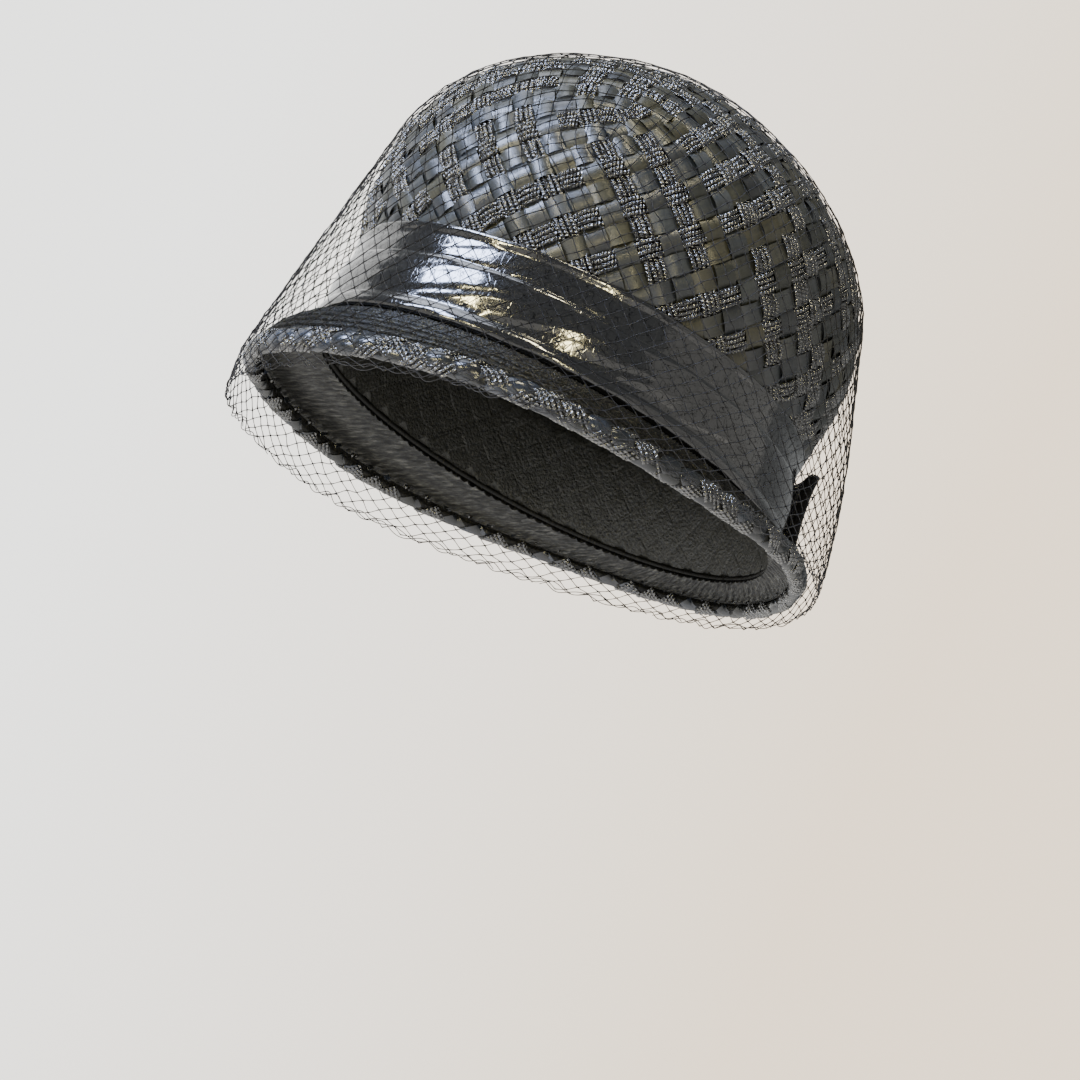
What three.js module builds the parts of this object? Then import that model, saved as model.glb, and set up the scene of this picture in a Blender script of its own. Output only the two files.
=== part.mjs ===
// A black straw bubble hat: a tall domed crown, a short turned-down brim with a rolled
// edge and its own facing, a pleated patent hatband with a flat bow at the back, and a
// net veil drawn over the whole hat. Millimetres, +Z up, the wearer faces -Y and the
// wearer's left is +X. The origin is the middle of the head opening, at the seam
// between crown and brim.

import * as THREE from 'three';

// ---------------------------------------------------------------- driving sizes

const sides = 36;            // facets round the crown, brim and band
const seam = 0.3;            // gap kept between touching pieces

// The crown's outer face: a base that flares to the brim, a waist that the band
// grips, the bubble at its widest, and the top of the dome.
const base = { height: 0.6, halfLength: 98, halfWidth: 82.4, centre: 0 };
const waist = { height: 33, halfLength: 90.4, halfWidth: 82.6, centre: -3.9 };
const widest = { height: 62, halfLength: 95.8, halfWidth: 88.3, centre: -4.8 };
const top = { height: 146.5, centre: -6.9 };
const flare = 1.6;           // how quickly the base draws in to the waist
const dome = { rise: 2.48, round: 1.37 };   // exponents of the dome's outline
const strawWall = 1.8;

// The rim: an oval of its own that dips at the front.
const rim = { halfLength: 110.4, halfWidth: 100.2, centre: -3.5, drop: 13.9, frontDip: 7.5, wave: 1.2 };
const brimTurn = { out: 0.95, down: 0.35 };  // where the brim's curve turns down
const brimWall = 1.6;
const edgeRoll = { radiusOut: 2.6, radiusUp: 3.9, corners: 7 };
const facing = { wall: 1.2, from: 0.02, to: 0.8, rows: 3 };

// The band's outer face, from its lower edge up: a narrow roll, the main panel and a
// pleat tucked behind the panel's folded edge. Stand is the distance off the crown.
const bandRows = [
  { height: 0.2, stand: 1.5 },
  { height: 1.2, stand: 2.5 },
  { height: 3.2, stand: 2.9 },
  { height: 5.3, stand: 2.5 },
  { height: 6.2, stand: 1.7 },
  { height: 7.4, stand: 2.2 },
  { height: 13.0, stand: 2.7 },
  { height: 19.0, stand: 2.7 },
  { height: 23.0, stand: 2.6 },
  { height: 23.9, stand: 2.1 },
  { height: 24.0, stand: 1.3 },
  { height: 30.0, stand: 1.6 },
  { height: 35.6, stand: 1.5 },
  { height: 36.3, stand: 1.0 },
];
const bandInside = [27, 18, 9];
const crownRowHeights = [0.6, 9, 18, 27, 36.3, 45, 54];
const domeRows = 8;

// The bow lies on the band at the centre back: two flat loops of ribbon and a knot.
// Stand is again the distance off the crown, lean is how much further the top edge of
// a loop stands off than its lower edge, and pressed is the lower edge's share of its
// full depth.
const bow = { low: 1.5, high: 35.5, corner: 2, stand: 3.2, lean: 2.4, pressed: 0.72 };
const loop = { length: 46, wall: 1.2, pinch: 2.8, belly: 5, steps: 8, turn: 4 };
const knot = { halfWidth: 8, low: 3.5, high: 33, thick: 5.4 };

// The veil: diamonds of net, drawn taut from the dome to the rim, with a hem that
// hangs lowest at the wearer's right front.
const net = { columns: 18, levels: 7, strand: 0.15, wall: 1 };
const veil = { startTurn: 0.88, overDome: 0.9, pastRim: 0.6, slackBack: 6 };
const hem = { drop: 5.5, swing: 8, lowestAt: -60, tuck: 0.1 };

// ---------------------------------------------------------------- small helpers

const radians = (degrees) => THREE.MathUtils.degToRad(degrees);
const mix = THREE.MathUtils.lerp;

// A point on an oval; the angle runs from the front (-Y) towards the wearer's left.
function onOval(oval, angle, stand = 0, height = oval.height) {
  return new THREE.Vector3(
    (oval.halfWidth + stand) * Math.sin(angle),
    oval.centre - (oval.halfLength + stand) * Math.cos(angle),
    height
  );
}

function blend(from, to, amount, height) {
  return {
    height,
    halfLength: mix(from.halfLength, to.halfLength, amount),
    halfWidth: mix(from.halfWidth, to.halfWidth, amount),
    centre: mix(from.centre, to.centre, amount),
  };
}

// Joins rings of points into one closed body. Rings all have the same count. With
// poles the first and last rings close on a point, without them they join each other.
function bodyFromRings(rings, poles) {
  const count = rings[0].length;
  const points = rings.flat();
  const faces = [];
  const pairs = poles ? rings.length - 1 : rings.length;
  for (let i = 0; i < pairs; i++) {
    const here = i * count;
    const next = ((i + 1) % rings.length) * count;
    for (let j = 0; j < count; j++) {
      const k = (j + 1) % count;
      faces.push([here + j, next + j, next + k], [here + j, next + k, here + k]);
    }
  }
  if (poles) {
    const first = points.push(poles.first) - 1;
    const last = points.push(poles.last) - 1;
    const end = (rings.length - 1) * count;
    for (let j = 0; j < count; j++) {
      const k = (j + 1) % count;
      faces.push([first, j, k], [last, end + k, end + j]);
    }
  }
  return geometryOf(points, faces);
}

// Gives a sheet of triangles its thickness: an outer face, an inner face and a wall
// along every open edge.
function bodyFromSheet(outer, inner, faces) {
  const count = outer.length;
  const edges = new Map();
  for (const [a, b, c] of faces) {
    for (const [from, to] of [[a, b], [b, c], [c, a]]) {
      if (!edges.delete(`${to},${from}`)) edges.set(`${from},${to}`, [from, to]);
    }
  }
  const all = faces.slice();
  for (const [a, b, c] of faces) {
    all.push([a + count, c + count, b + count]);
  }
  for (const [from, to] of edges.values()) {
    all.push([to, from, from + count], [to, from + count, to + count]);
  }
  return geometryOf([...outer, ...inner], all);
}

function geometryOf(points, faces) {
  let volume = 0;
  for (const [a, b, c] of faces) {
    volume += points[a].dot(new THREE.Vector3().crossVectors(points[b], points[c]));
  }
  const outward = volume > 0 ? faces : faces.map(([a, b, c]) => [a, c, b]);
  const geometry = new THREE.BufferGeometry();
  geometry.setAttribute('position', new THREE.Float32BufferAttribute(points.flatMap((p) => p.toArray()), 3));
  geometry.setIndex(outward.flat());
  geometry.computeVertexNormals();
  return geometry;
}

const angles = Array.from({ length: sides }, (_, i) => (i / sides) * 2 * Math.PI);

// ---------------------------------------------------------------- crown

// The oval section of the crown's outer face at a height below the widest line.
function crownSection(height) {
  if (height <= waist.height) {
    const amount = 1 - Math.pow(Math.max(0, 1 - height / waist.height), flare);
    return blend(base, waist, amount, height);
  }
  const rise = (height - waist.height) / (widest.height - waist.height);
  return blend(waist, widest, Math.sin((Math.min(rise, 1) * Math.PI) / 2), height);
}

// The dome above the widest line; turn runs from 0 there to 1 at the top.
function domeSection(turn, stand = 0) {
  const up = Math.sin((turn * Math.PI) / 2);
  const shrink = Math.pow(1 - Math.pow(up, dome.rise), 1 / dome.round);
  return {
    height: mix(widest.height, top.height + stand, up),
    halfLength: (widest.halfLength + stand) * shrink,
    halfWidth: (widest.halfWidth + stand) * shrink,
    centre: mix(widest.centre, top.centre, up),
  };
}

function crownRings(stand) {
  const ovals = crownRowHeights.map((height) => {
    const oval = crownSection(height);
    return { ...oval, halfLength: oval.halfLength + stand, halfWidth: oval.halfWidth + stand };
  });
  for (let i = 0; i < domeRows; i++) {
    ovals.push(domeSection(i / domeRows, stand));
  }
  return ovals.map((oval) => angles.map((angle) => onOval(oval, angle)));
}

function makeCrown() {
  const rings = [...crownRings(0).reverse(), ...crownRings(-strawWall)];
  const pole = (height) => new THREE.Vector3(0, top.centre, height);
  return bodyFromRings(rings, { first: pole(top.height), last: pole(top.height - strawWall) });
}

// ---------------------------------------------------------------- brim and facing

function rimHeight(angle) {
  return -(rim.drop + rim.frontDip * Math.cos(angle) + rim.wave * Math.cos(4 * angle));
}

// A point on the brim's upper face: along runs from 0 at the seam to 1 at the rim,
// and depth is the distance below that face.
function brimPoint(angle, along, depth) {
  const start = onOval(base, angle, -strawWall, 0.6 - seam);
  const end = onOval(rim, angle, 0, rimHeight(angle));
  const out = 2 * along * (1 - along) * brimTurn.out + along * along;
  const down = 2 * along * (1 - along) * brimTurn.down + along * along;
  const slope = new THREE.Vector2(
    2 * (1 - 2 * along) * brimTurn.out + 2 * along,
    2 * (1 - 2 * along) * brimTurn.down + 2 * along
  );
  const across = new THREE.Vector3(end.x - start.x, end.y - start.y, 0);
  const fall = start.z - end.z;
  const point = new THREE.Vector3().copy(start).addScaledVector(across, out);
  point.z -= fall * down;
  const run = across.length() * slope.x;
  const dip = fall * slope.y;
  const length = Math.hypot(run, dip);
  point.addScaledVector(across.normalize(), (-depth * dip) / length);
  point.z -= (depth * run) / length;
  return point;
}

function makeBrim() {
  const profileAt = (angle) => {
    const steps = [0, 0.1, 0.3, 0.55, 0.83];
    const upper = steps.map((along) => brimPoint(angle, along, 0));
    const lower = steps.map((along) => brimPoint(angle, along, brimWall)).reverse();
    const heart = brimPoint(angle, 1, brimWall / 2);
    const outward = new THREE.Vector3(Math.sin(angle), -Math.cos(angle), 0);
    const bead = Array.from({ length: edgeRoll.corners }, (_, i) => {
      const turn = mix(radians(100), radians(-170), i / (edgeRoll.corners - 1));
      const point = heart.clone().addScaledVector(outward, edgeRoll.radiusOut * Math.cos(turn));
      point.z += edgeRoll.radiusUp * Math.sin(turn);
      return point;
    });
    return [...upper, ...bead, ...lower];
  };
  const profiles = angles.map(profileAt);
  const rings = profiles[0].map((_, i) => profiles.map((profile) => profile[i]));
  return bodyFromRings(rings);
}

function makeFacing() {
  const steps = Array.from({ length: facing.rows + 1 }, (_, i) => {
    return mix(facing.from, facing.to, i / facing.rows);
  });
  const nearBrim = brimWall + seam;
  const profileAt = (angle) => [
    ...steps.map((along) => brimPoint(angle, along, nearBrim)),
    ...steps.map((along) => brimPoint(angle, along, nearBrim + facing.wall)).reverse(),
  ];
  const profiles = angles.map(profileAt);
  const rings = profiles[0].map((_, i) => profiles.map((profile) => profile[i]));
  return bodyFromRings(rings);
}

// ---------------------------------------------------------------- hatband

function makeBand() {
  const upperEdge = bandRows[bandRows.length - 1].height;
  const rows = [
    { height: base.height + seam, stand: seam },
    ...bandRows,
    { height: upperEdge, stand: seam },
    ...bandInside.map((height) => ({ height, stand: seam })),
  ];
  const rings = rows.map((row) => {
    const oval = crownSection(row.height);
    return angles.map((angle) => onOval(oval, angle, row.stand, row.height));
  });
  return bodyFromRings(rings);
}

// ---------------------------------------------------------------- bow

// A point on the back of the hat: out is the distance along the band from the centre
// back, towards the wearer's left for a side of +1, and stand is off the crown.
function atBack(side, out, height, stand) {
  const angle = Math.PI - (side * out) / waist.halfLength;
  return onOval(crownSection(height), angle, stand, height);
}

// The outline of a flat loop seen from above and unrolled: x runs out along the band
// and y off it. The inset is 0 on the ribbon's outer face and its wall on the inner.
function loopOutline(inset) {
  const depthAt = (part) => mix(loop.pinch, loop.belly, Math.sin((part * Math.PI) / 2));
  const run = loop.length - loop.belly / 2;
  const parts = Array.from({ length: loop.steps + 1 }, (_, i) => i / loop.steps);
  const near = parts.map((part) => ({ x: mix(inset, run, part), y: inset }));
  const far = parts.map((part) => ({ x: mix(inset, run, part), y: depthAt(part) - inset }));
  const radius = loop.belly / 2;
  const end = Array.from({ length: loop.turn }, (_, i) => {
    const turn = mix(-Math.PI / 2, Math.PI / 2, (i + 1) / (loop.turn + 1));
    return {
      x: run + (radius - inset) * Math.cos(turn),
      y: radius + (radius - inset) * Math.sin(turn),
    };
  });
  return [...near, ...end, ...far.reverse()];
}

function makeLoop(side) {
  const { low, high, corner } = bow;
  const section = [
    { height: low, inset: loop.wall / 2 },
    { height: low + corner, inset: 0 },
    { height: high - corner, inset: 0 },
    { height: high, inset: loop.wall / 2 },
    { height: high - corner, inset: loop.wall },
    { height: low + corner, inset: loop.wall },
  ];
  const rings = section.map(({ height, inset }) => {
    const share = (height - low) / (high - low);
    return loopOutline(inset).map(({ x, y }) => {
      const lean = bow.lean * share * (x / loop.length);
      const depth = y * mix(bow.pressed, 1, share);
      return atBack(side, knot.halfWidth + seam + x, height, bow.stand + depth + lean);
    });
  });
  return bodyFromRings(rings);
}

function makeKnot() {
  const across = [
    { part: -1, thick: 0.6 },
    { part: -0.75, thick: 0.9 },
    { part: 0, thick: 1 },
    { part: 0.75, thick: 0.9 },
    { part: 1, thick: 0.6 },
  ];
  const rows = [
    { height: knot.low, thick: 0.6 },
    { height: knot.low + 2.5, thick: 1 },
    { height: knot.high - 2.5, thick: 1 },
    { height: knot.high, thick: 0.6 },
  ];
  const rings = rows.map((row) => {
    const back = across.map(({ part }) => {
      return atBack(1, part * knot.halfWidth, row.height, bow.stand);
    });
    const front = across.map(({ part, thick }) => {
      const stand = bow.stand + knot.thick * thick * row.thick;
      return atBack(1, part * knot.halfWidth, row.height, stand);
    });
    return [...back, ...front.reverse()];
  });
  const middle = (ring) => {
    return ring.reduce((sum, point) => sum.add(point), new THREE.Vector3()).divideScalar(ring.length);
  };
  return bodyFromRings(rings, { first: middle(rings[0]), last: middle(rings[rings.length - 1]) });
}

// ---------------------------------------------------------------- veil

// The veil's line over the hat at one angle, as points from the top ring to the hem:
// it lies on the dome, leaves it on the tangent to the rim and hangs past the rim.
function veilLine(angle) {
  const outward = new THREE.Vector3(Math.sin(angle), -Math.cos(angle), 0);
  const edge = onOval(rim, angle, edgeRoll.radiusOut + veil.pastRim, rimHeight(angle));
  const lying = [];
  for (let turn = veil.startTurn; turn >= 0; turn -= veil.startTurn / 22) {
    lying.push(onOval(domeSection(turn, veil.overDome), angle));
  }
  const reach = (point) => Math.hypot(point.x, point.y - top.centre);
  const lean = (point) => (reach(point) - reach(edge)) / (point.z - edge.z);
  const leave = lying.reduce((best, point, i) => (lean(point) > lean(lying[best]) ? i : best), 0);
  const line = lying.slice(0, leave + 1);
  const from = line[line.length - 1];
  const slack = (veil.slackBack * (1 - Math.cos(angle))) / 2;
  for (let part = 0.1; part < 1.01; part += 0.1) {
    const point = new THREE.Vector3().lerpVectors(from, edge, part);
    line.push(point.addScaledVector(outward, slack * Math.sin(part * Math.PI * 0.7)));
  }
  const swing = hem.swing * Math.cos(angle - radians(hem.lowestAt));
  const drop = edgeRoll.radiusUp + hem.drop + swing;
  const low = line[line.length - 1].clone().addScaledVector(outward, -drop * hem.tuck);
  low.z -= drop;
  line.push(low);
  return line;
}

// The point at a share of a line's length, and the line's direction there.
function alongLine(points, share) {
  const lengths = points.slice(1).map((point, i) => point.distanceTo(points[i]));
  let left = share * lengths.reduce((sum, length) => sum + length, 0);
  let i = 0;
  while (i < lengths.length - 1 && left > lengths[i]) {
    left -= lengths[i];
    i += 1;
  }
  const point = new THREE.Vector3().lerpVectors(points[i], points[i + 1], left / lengths[i]);
  const direction = new THREE.Vector3().subVectors(points[i + 1], points[i]).normalize();
  return { point, direction };
}

// The net is a sheet of diamonds. Its two families of strands are numbered p and q:
// p + q counts levels down from the top ring and p - q counts half columns round.
function makeVeil() {
  const outer = [];
  const inner = [];
  const known = new Map();
  const vertex = (p, q) => {
    const column = THREE.MathUtils.euclideanModulo((p - q) / 2, net.columns);
    const key = `${column.toFixed(4)} ${(p + q).toFixed(4)}`;
    if (known.has(key)) return known.get(key);
    const angle = (column / net.columns) * 2 * Math.PI;
    const { point, direction } = alongLine(veilLine(angle), (p + q) / net.levels);
    const normal = new THREE.Vector3(Math.sin(angle), -Math.cos(angle), 0);
    normal.addScaledVector(direction, -normal.dot(direction)).normalize();
    inner.push(point);
    outer.push(point.clone().addScaledVector(normal, net.wall));
    known.set(key, outer.length - 1);
    return outer.length - 1;
  };
  const square = [[0, 0], [0.5, 0], [1, 0], [1, 0.5], [1, 1], [0.5, 1], [0, 1], [0, 0.5]];
  const inset = (value) => mix(net.strand, 1 - net.strand, value);
  const faces = [];
  for (let level = 0; level <= net.levels - 2; level++) {
    for (let column = 0; column < net.columns; column++) {
      const halves = 2 * column + (level % 2);
      const p = (level + halves) / 2;
      const q = (level - halves) / 2;
      const frame = square.map(([x, y]) => vertex(p + x, q + y));
      const hole = square.map(([x, y]) => vertex(p + inset(x), q + inset(y)));
      square.forEach((_, i) => {
        const k = (i + 1) % square.length;
        faces.push([frame[i], frame[k], hole[k]], [frame[i], hole[k], hole[i]]);
      });
    }
  }
  return bodyFromSheet(outer, inner, faces);
}

// ---------------------------------------------------------------- assembly

const straw = new THREE.MeshStandardMaterial({ color: 0x2b2d31, roughness: 0.45, metalness: 0 });
const darkStraw = new THREE.MeshStandardMaterial({ color: 0x232423, roughness: 0.7, metalness: 0 });
const patent = new THREE.MeshStandardMaterial({ color: 0x0d0e11, roughness: 0.12, metalness: 0 });
const velvet = new THREE.MeshStandardMaterial({ color: 0x0a0b0a, roughness: 0.95, metalness: 0 });
const nylonNet = new THREE.MeshStandardMaterial({ color: 0x1c1c1d, roughness: 0.6, metalness: 0 });

const pieces = [
  { name: 'crown', geometry: makeCrown(), material: straw },
  { name: 'brim', geometry: makeBrim(), material: straw },
  { name: 'brim_facing', geometry: makeFacing(), material: darkStraw },
  { name: 'hatband', geometry: makeBand(), material: patent },
  { name: 'bow_loop_left', geometry: makeLoop(1), material: velvet },
  { name: 'bow_loop_right', geometry: makeLoop(-1), material: velvet },
  { name: 'bow_knot', geometry: makeKnot(), material: velvet },
  { name: 'veil', geometry: makeVeil(), material: nylonNet },
];

const group = new THREE.Group();
group.name = 'bubble_hat';
for (const { name, geometry, material } of pieces) {
  const mesh = new THREE.Mesh(geometry, material);
  mesh.name = name;
  group.add(mesh);
}

export default group;
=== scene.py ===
from math import cos, floor, inf, pi, radians, sin, sqrt
from functools import partial
import bpy
import numpy as np
from mathutils import Matrix, Vector


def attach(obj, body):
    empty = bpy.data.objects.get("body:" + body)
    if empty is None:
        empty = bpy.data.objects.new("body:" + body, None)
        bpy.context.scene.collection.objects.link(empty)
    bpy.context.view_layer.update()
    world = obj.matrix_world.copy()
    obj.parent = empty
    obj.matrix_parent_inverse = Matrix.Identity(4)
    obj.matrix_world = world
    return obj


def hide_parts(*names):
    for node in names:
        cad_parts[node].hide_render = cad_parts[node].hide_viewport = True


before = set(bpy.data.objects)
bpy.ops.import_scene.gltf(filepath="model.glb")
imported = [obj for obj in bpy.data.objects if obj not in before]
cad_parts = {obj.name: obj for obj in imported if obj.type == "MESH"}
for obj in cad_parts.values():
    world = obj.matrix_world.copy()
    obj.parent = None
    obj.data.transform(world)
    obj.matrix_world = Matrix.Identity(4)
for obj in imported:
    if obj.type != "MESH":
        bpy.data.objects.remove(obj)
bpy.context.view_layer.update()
random = np.random.default_rng(7)
mm = 0.001  # shapes are worked out in millimetres and stored in metres

# Camera: a long lens a little below the brim, tipped over to the side

cameraView = {
    "azimuth": 57.86,  # degrees round from the front
    "elevation": -18.82,
    "roll": 25.7,
    "distance": 1.3,
    "target": (0.0, 0.0, 0.05),
    "aside": (-0.0180, -0.0593),  # how far the middle of the picture lies off the target
    "lens": 117.35,
    "sensor": 36.0,
    "nearest": 0.05, "farthest": 40.0,
}


def makeCamera(view):
    turn, lift, roll = (radians(view[name]) for name in ("azimuth", "elevation", "roll"))
    back = Vector((sin(turn) * cos(lift), -cos(turn) * cos(lift), sin(lift)))
    right = Vector((cos(turn), sin(turn), 0))
    up = back.cross(right)
    across = cos(roll) * right + sin(roll) * up
    upward = cos(roll) * up - sin(roll) * right
    aim = (-back + view["aside"][0] * across + view["aside"][1] * upward).normalized()
    side = aim.cross(upward).normalized()
    head = side.cross(aim)
    data = bpy.data.cameras.new("hatCamera")
    data.lens = view["lens"]
    data.sensor_width = view["sensor"]
    data.clip_start = view["nearest"]
    data.clip_end = view["farthest"]
    camera = bpy.data.objects.new("hatCamera", data)
    turned = Matrix((side, head, -aim)).transposed().to_4x4()
    camera.matrix_world = Matrix.Translation(Vector(view["target"]) + back * view["distance"]) @ turned
    bpy.context.scene.collection.objects.link(camera)
    bpy.context.scene.camera = camera


makeCamera(cameraView)
print("camera placed")

# Materials: one way of adding a node, one way of turning a colour linear


def linear(hexColour):
    channels = [int(hexColour[k:k + 2], 16) / 255 for k in (1, 3, 5)]
    return tuple([c / 12.92 if c <= 0.04045 else ((c + 0.055) / 1.055) ** 2.4 for c in channels] + [1.0])


def addNode(tree, kind, settings, output=0):
    # a setting is an output to link from, a ramp's stops, or the value of an input or a property
    node = tree.nodes.new("ShaderNode" + kind)
    for name, value in settings.items():
        if isinstance(value, bpy.types.NodeSocket):
            tree.links.new(value, node.inputs[name])
        elif name == "stops":
            elements = node.color_ramp.elements
            while len(elements) < len(value):
                elements.new(0.5)
            for element, (place, colour) in zip(elements, value):
                element.position, element.color = place, linear(colour)
        elif isinstance(name, int) or name in node.inputs:
            node.inputs[name].default_value = value
        else:
            setattr(node, name, value)
    return node.outputs[output]


def newMaterial(name, settings):
    material = bpy.data.materials.new(name)
    material.use_nodes = True
    shader = material.node_tree.nodes["Principled BSDF"]
    for socket, value in settings.items():
        shader.inputs[socket].default_value = value
    return material, partial(addNode, material.node_tree)


def feed(material, links):
    tree = material.node_tree
    for socket, source in links.items():
        tree.links.new(source, tree.nodes["Principled BSDF"].inputs[socket])
    return material


def strandPlace(add, *names):
    # where a point lies on its own strand, mm, from the values stored in the mesh
    stored = [add("Attribute", {"attribute_name": name}, "Fac") for name in names]
    return add("CombineXYZ", dict(zip("XYZ", stored)))


# Meshes: grids of points, each with how far it lies along and across its strand and a tint


def gridFaces(rows, columns, first, closed):
    spans = columns if closed else columns - 1
    row, column = np.meshgrid(np.arange(rows - 1), np.arange(spans), indexing="ij")
    here, beside = row * columns + column, row * columns + (column + 1) % columns
    return np.stack([here, beside, beside + columns, here + columns], axis=-1).reshape(-1, 4) + first


def layGrid(points, along, across, tint=0.0, closed=False):
    return {"points": points, "along": along, "across": across, "tint": tint, "closed": closed}


def makePiece(name, grids, material):
    points, faces, first = [], [], 0
    values = {"along": [], "across": [], "tint": []}
    for grid in grids:
        rows, columns = grid["points"].shape[:2]
        faces.append(gridFaces(rows, columns, first, grid["closed"]))
        points.append(grid["points"].reshape(-1, 3))
        for key, stored in values.items():
            stored.append(np.broadcast_to(grid[key], (rows, columns)).reshape(-1))
        first += rows * columns
    mesh = bpy.data.meshes.new(name)
    mesh.from_pydata((np.concatenate(points) * mm).tolist(), [], np.concatenate(faces).tolist())
    for key, stored in values.items():
        attribute = mesh.attributes.new(key, "FLOAT", "POINT")
        attribute.data.foreach_set("value", np.concatenate(stored).astype(np.float32))
    mesh.validate()
    mesh.shade_smooth()
    mesh.materials.append(material)
    piece = bpy.data.objects.new(name, mesh)
    bpy.context.scene.collection.objects.link(piece)
    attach(piece, "root")
    print(name, len(mesh.polygons), "faces")
    return piece


def norm(vectors):
    return np.linalg.norm(vectors, axis=-1)


def unit(vectors):
    return vectors / np.maximum(norm(vectors), 1e-9)[..., None]


def mix(a, b, share):
    return a + (b - a) * share


# The crown's form, mm: an oval section at each height, closed by a dome

crownForm = {
    "baseHeight": 0.6, "baseLength": 98.0, "baseWidth": 82.4, "baseCentre": 0.0,
    "waistHeight": 33.0, "waistLength": 90.4, "waistWidth": 82.6, "waistCentre": -3.9,
    "widestHeight": 62.0, "widestLength": 95.8, "widestWidth": 88.3, "widestCentre": -4.8,
    "topHeight": 146.5, "topCentre": -6.9,
    "flare": 1.6, "rise": 2.48, "round": 1.37,
    "reach": 90,  # from the middle to the side: turns an angle round the hat into mm
}


def crownSection(height):
    f = crownForm
    height = np.clip(height, f["baseHeight"], f["widestHeight"])
    low = np.clip((height - f["baseHeight"]) / (f["waistHeight"] - f["baseHeight"]), 0, 1)
    high = np.clip((height - f["waistHeight"]) / (f["widestHeight"] - f["waistHeight"]), 0, 1)
    lower, upper = 1 - (1 - low) ** f["flare"], np.sin(high * pi / 2)
    return [
        mix(mix(f["base" + k], f["waist" + k], lower), f["widest" + k], upper)
        for k in ("Length", "Width", "Centre")
    ]


def crownProfile(steps=200):
    f = crownForm
    up = np.sin(np.linspace(1, 0, steps) * pi / 2)
    shrink = (1 - up ** f["rise"]) ** (1 / f["round"])
    dome = np.stack([
        f["widestLength"] * shrink,
        f["widestWidth"] * shrink,
        mix(f["widestCentre"], f["topCentre"], up),
        mix(f["widestHeight"], f["topHeight"], up),
    ], axis=1)
    heights = np.linspace(f["widestHeight"], f["baseHeight"], steps)[1:]
    sides = np.stack(crownSection(heights) + [heights], axis=1)
    rows = np.concatenate([dome, sides])
    radius = rows[:, :2].mean(axis=1)
    arc = np.concatenate([[0], np.cumsum(np.hypot(np.diff(radius), np.diff(rows[:, 3])))])
    return rows, arc


profileRows, profileArc = crownProfile()
crownArc = profileArc[-1]  # from the middle of the top down to the base
print("crown arc", round(crownArc, 1), "mm")


def arcAtHeight(height):
    return float(np.interp(-height, -profileRows[:, 3], profileArc))


def onCrown(flat):
    # flat holds points round the middle of the top: their distance from it is the way down the side
    away = norm(flat)
    turn = flat / np.maximum(away, 1e-9)[..., None]
    length, width, centre, height = (np.interp(away, profileArc, profileRows[:, k]) for k in range(4))
    return np.stack([width * turn[..., 0], centre + length * turn[..., 1], height], axis=-1)


def slopes(place, flat, step=0.5):
    right, forward = np.array([step, 0.0]), np.array([0.0, step])
    across = (place(flat + right) - place(flat - right)) / (2 * step)
    ahead = (place(flat + forward) - place(flat - forward)) / (2 * step)
    return across, ahead


def outward(place, flat):
    across, ahead = slopes(place, flat, 0.8)
    return unit(np.cross(across, ahead))


# Bias plaiting: a square of strands over the top whose four edges turn down the sides.
# A strand that crosses the line below a corner turns a quarter with the fabric.


def plait(across, pitch, patch, depth):
    # across: strands from the middle of the square to its corner; patch: arc down to its edges;
    # depth: arc to stop at. A strand is a list of crossings, each with 1 for over or -1 for under.
    nodes, index, strands = [], {}, []
    slip = 1e-6
    perMm = 20  # places this close, a twentieth of a millimetre, are one crossing
    around = ((0, 0), (1, 0), (-1, 0), (0, 1), (0, -1), (1, 1), (-1, -1), (1, -1), (-1, 1))

    def flatPlace(spot):
        for quarter in range(4):
            local = spot * (-1j) ** quarter
            ring = local.real + local.imag
            if ring <= across and local.real > 0 and local.imag > 0:
                break
            if ring > across and abs(local.real - local.imag) <= across + slip:
                break
        if ring <= across:
            share, away = local.imag / ring, patch * ring / across
        else:
            share = (local.imag - local.real + across) / (2 * across)
            away = patch + (ring - across) * pitch / sqrt(2)
        angle = radians(90 * (share + quarter) + 45)
        return away * cos(angle), away * sin(angle), away

    def nodeAt(spot):
        x, y, away = flatPlace(spot)
        key = (round(x * perMm), round(y * perMm))
        for near in around:
            found = index.get((key[0] + near[0], key[1] + near[1]))
            if found is not None:
                return found, away
        index[key] = len(nodes)
        nodes.append((x, y))
        return len(nodes) - 1, away

    def fold(spot, heading):
        for quarter in range(4):
            turned = 1j ** quarter
            local, ahead = spot / turned, heading / turned
            if local.real - abs(local.imag) > across + slip and local.real > across:
                quarterTurn = -1j if local.imag > 0 else 1j
                local = across + quarterTurn * (local - across)
                return local * turned, ahead * quarterTurn * turned
        return spot, heading

    def walk(spot, heading):
        path = []
        while True:
            node, away = nodeAt(spot)
            level = abs(heading.imag) < 0.5
            even = (floor(spot.real) + floor(spot.imag)) % 2 == 0
            path.append((node, 1 if level == even else -1))
            if away > depth:
                return path
            spot, heading = fold(spot + heading, heading)

    for row in range(-across, across):
        for start, heading in ((complex(0.5, row + 0.5), 1 + 0j), (complex(row + 0.5, 0.5), 1j)):
            ahead = walk(start, heading)
            behind = walk(start - heading, -heading)
            strands.append(behind[::-1] + ahead)
    return np.array(nodes), strands


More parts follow.
